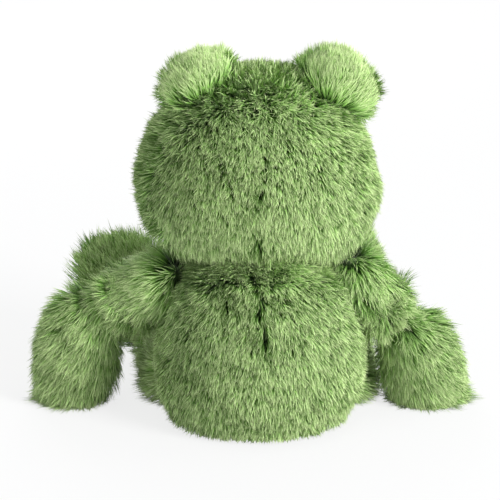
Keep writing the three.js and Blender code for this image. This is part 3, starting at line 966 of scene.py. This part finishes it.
comb_pile("head", comb_head, COAT * 0.82, (17, 55), 11,
          [("body", 2 * MM), ("eye_mound_left", 5 * MM), ("eye_mound_right", 5 * MM)],
          touch_head, panels=quarters)
comb_pile("body", comb_body, COAT * 0.84, (17, 55), 12, BODY_NEIGHBOURS, touch_body, only=open_body,
          panels=quarters)
for side in SIDES:
    sign = 1 if side == "left" else -1
    shoulder, wrist = joint_place["shoulder_" + side], joint_place["wrist_" + side]
    hip, ankle = joint_place["hip_" + side], joint_place["ankle_" + side]
    heel = ankle - np.array([0, 0, 30]) * MM
    palm = node_middle("hand_" + side)
    crease = ARM_CREASE[side]
    comb_pile("eye_mound_" + side, comb_mound(side, PUCKER[side]), COAT * 1.12, (52, 80), 20 + sign,
              [("head", 4 * MM)], touch_mound, 0.5)
    comb_pile("upper_arm_" + side, comb_limb(shoulder, wrist, (0, 0, -0.2), crease, ARM_FIRST[side]),
              COAT * 1.2, (40, 75), 30 + sign, [("body", 7 * MM), ("hand_" + side, 5 * MM)],
              touch_limb(shoulder, crease), 0.7)
    comb_pile("hand_" + side, comb_limb(wrist, palm, (0, 0, -0.2), crease), HAND_COAT[side], (38, 74),
              40 + sign, [("upper_arm_" + side, 7 * MM)], touch_limb(shoulder, crease), 0.7)
    comb_pile("leg_" + side, comb_limb(hip, ankle, (0, 0, 0.1)), COAT * 1.2, (32, 68), 50 + sign,
              [("body", 7 * MM), ("foot_" + side, 5 * MM)], touch_leg, 0.8)
    comb_pile("foot_" + side, comb_limb(heel, ankle, (0.35 * sign, 0, 0)), COAT * 1.3, (34, 68), 60 + sign,
              [("leg_" + side, 7 * MM)], touch_foot(sign), 0.8)
comb_pile("belly_panel", comb_belly, 6.5 * MM, (40, 74), 70, only=open_panel, density=DENSITY * 1.15,
          width=0.5 * MM, material=pale_pile)

# Eyes, stitches and the seat


def place_on(middle, aim):
    """The matrix that sets a piece modelled upright at the origin on a place, looking along aim."""
    turned = Vector(aim).to_track_quat("Z", "Y").to_matrix().to_4x4()
    return Matrix.Translation(Vector(middle)) @ turned


def set_down(o, matrix):
    """Puts a finished piece in its place, in its mesh."""
    o.data.transform(matrix)
    o.data.update()


EYE_RADIUS = 8 * MM
EYE_DOME = 5.5 * MM
SHANK_RADIUS = 2.2 * MM
SHANK_LENGTH = 10 * MM

for side in SIDES:
    points = node_points("eye_" + side)
    along = (points - eye_middle[side]) @ eye_aim[side]
    crown = eye_middle[side] + eye_aim[side] * (along.max() - EYE_DOME)
    bpy.ops.mesh.primitive_uv_sphere_add(segments=40, ring_count=24, radius=EYE_RADIUS)
    eye = bpy.context.active_object
    eye.name = "eye_dome_" + side
    bpy.ops.object.mode_set(mode="EDIT")
    bpy.ops.mesh.select_all(action="SELECT")
    bpy.ops.mesh.bisect(plane_co=(0, 0, 0), plane_no=(0, 0, 1), use_fill=True, clear_inner=True)
    bpy.ops.mesh.inset(thickness=EYE_RADIUS - SHANK_RADIUS)
    bpy.ops.mesh.extrude_region_move(TRANSFORM_OT_translate={"value": (0, 0, -SHANK_LENGTH)})
    bpy.ops.mesh.select_all(action="SELECT")
    bpy.ops.mesh.normals_make_consistent(inside=False)
    bpy.ops.object.mode_set(mode="OBJECT")
    for vertex in eye.data.vertices:
        if vertex.co.z > 0:
            vertex.co.z *= EYE_DOME / EYE_RADIUS
    eye.data.materials.append(eye_gloss)
    bpy.ops.object.shade_smooth_by_angle(angle=math.radians(40))
    set_down(eye, place_on(crown, eye_aim[side]))
    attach(eye, "head")
    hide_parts("eye_" + side)
    washer = nodes["eye_washer_" + side]
    washer.data.materials.clear()
    washer.data.materials.append(washer_plastic)


def stitch_model(length, width, height):
    """One satin stitch, a flattened run of thread, modelled once and copied."""
    bpy.ops.mesh.primitive_cylinder_add(vertices=8, radius=width / 2, depth=length,
                                        end_fill_type="TRIFAN")
    stitch = bpy.context.active_object
    bpy.ops.object.mode_set(mode="EDIT")
    bpy.ops.mesh.select_all(action="SELECT")
    for share in (0.3, -0.3):
        bpy.ops.mesh.bisect(plane_co=(0, 0, share * length), plane_no=(0, 0, 1))
        bpy.ops.mesh.select_all(action="SELECT")
    bpy.ops.object.mode_set(mode="OBJECT")
    for vertex in stitch.data.vertices:
        out = abs(vertex.co.z) / (length / 2)
        vertex.co.x *= 1 - 0.35 * out**3
        vertex.co.y = vertex.co.y * (height / width) * (1 - 0.5 * out**3) - height * 0.8 * out**2
    return stitch


def sew(name, node, model, places, material, body):
    """Copies a stitch to each place (matrix) and joins the copies to one piece."""
    copies = []
    for matrix in places:
        copy = bpy.data.objects.new(name, model.data.copy())
        scene.collection.objects.link(copy)
        copy.data.transform(matrix)
        copies.append(copy)
    select_only(*copies)
    bpy.ops.object.join()
    piece = bpy.context.active_object
    piece.name = name
    piece.data.materials.clear()
    piece.data.materials.append(material)
    bpy.ops.object.shade_smooth_by_angle(angle=math.radians(50))
    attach(piece, body)
    if node:
        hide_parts(node)
    bpy.data.objects.remove(model)


def stitch_matrix(point, along, normal, lift):
    """A stitch that runs along one way and lies on the cloth, its back to the normal."""
    z = Vector(along).normalized()
    y = (Vector(normal) - z * Vector(normal).dot(z)).normalized()
    x = y.cross(z)
    turned = Matrix((x, y, z)).transposed().to_4x4()
    return Matrix.Translation(Vector(point) + y * lift) @ turned


MOUTH_STITCHES = 74
STITCH_LIFT = 0.9 * MM  # above the cloth

line, outward = mouth_line(MOUTH_STITCHES)
places = []
for i in range(MOUTH_STITCHES):
    tangent = line[min(i + 1, MOUTH_STITCHES - 1)] - line[max(i - 1, 0)]
    tangent /= np.linalg.norm(tangent)
    slant = np.cross(outward[i], tangent) + 0.45 * tangent
    places.append(stitch_matrix(line[i], slant, outward[i], STITCH_LIFT))
model = stitch_model(3.6 * MM, 1.15 * MM, 1.0 * MM)
sew("mouth_satin", "mouth_stitch", model, places, thread, "head")

for side in SIDES:
    middle = nostril_middle[side]
    places = []
    for share in np.linspace(-1, 1, 7):
        x = middle[0] + share * 2.6 * MM
        point, normal = onto("head", (x, -0.2, middle[2]), (0, 1, 0))
        size = math.sqrt(1 - (0.82 * share) ** 2)
        matrix = stitch_matrix(point, (0.12, 0, 1), normal, STITCH_LIFT)
        places.append(matrix @ Matrix.Diagonal((1, 1, size, 1)))
    model = stitch_model(4.4 * MM, 1.1 * MM, 1.0 * MM)
    sew("nostril_satin_" + side, "nostril_" + side, model, places, thread, "head")

low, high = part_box("seat_panel")
seat_radius = (high.x - low.x) / 2
bpy.ops.mesh.primitive_circle_add(vertices=64, radius=seat_radius, fill_type="NGON")
seat = bpy.context.active_object
seat.name = "seat_round"
bpy.ops.object.mode_set(mode="EDIT")
bpy.ops.mesh.select_all(action="SELECT")
bpy.ops.mesh.extrude_region_move(TRANSFORM_OT_translate={"value": (0, 0, high.z - low.z)})
bpy.ops.mesh.inset(thickness=2 * MM)
bpy.ops.mesh.inset(thickness=6 * MM)
bpy.ops.transform.translate(value=(0, 0, -0.5 * MM))
bpy.ops.mesh.select_all(action="SELECT")
bpy.ops.mesh.normals_make_consistent(inside=False)
bpy.ops.object.mode_set(mode="OBJECT")
bevel = seat.modifiers.new("turned edge", "BEVEL")
bevel.width, bevel.segments, bevel.limit_method = 0.7 * MM, 3, "ANGLE"
bpy.ops.object.modifier_apply(modifier=bevel.name)
seat.data.materials.append(seat_cloth)
bpy.ops.object.shade_smooth_by_angle(angle=math.radians(45))
set_down(seat, Matrix.Translation((seat_middle[0], seat_middle[1], low.z)))
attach(seat, "body")
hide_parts("seat_panel")

SEAT_STITCHES = 36
places = []
for step in range(SEAT_STITCHES):
    angle = 2 * math.pi * step / SEAT_STITCHES
    point = seat_middle + np.array([math.cos(angle), math.sin(angle), 0]) * (seat_radius - 1.6 * MM)
    point[2] = low.z
    along = (-math.sin(angle), math.cos(angle), 0)
    places.append(stitch_matrix(point, along, (0, 0, -1), -0.05 * MM))
model = stitch_model(2.6 * MM, 0.6 * MM, 0.3 * MM)
sew("seat_stitches", None, model, places, seam_thread, "body")

bpy.ops.object.select_all(action="DESELECT")
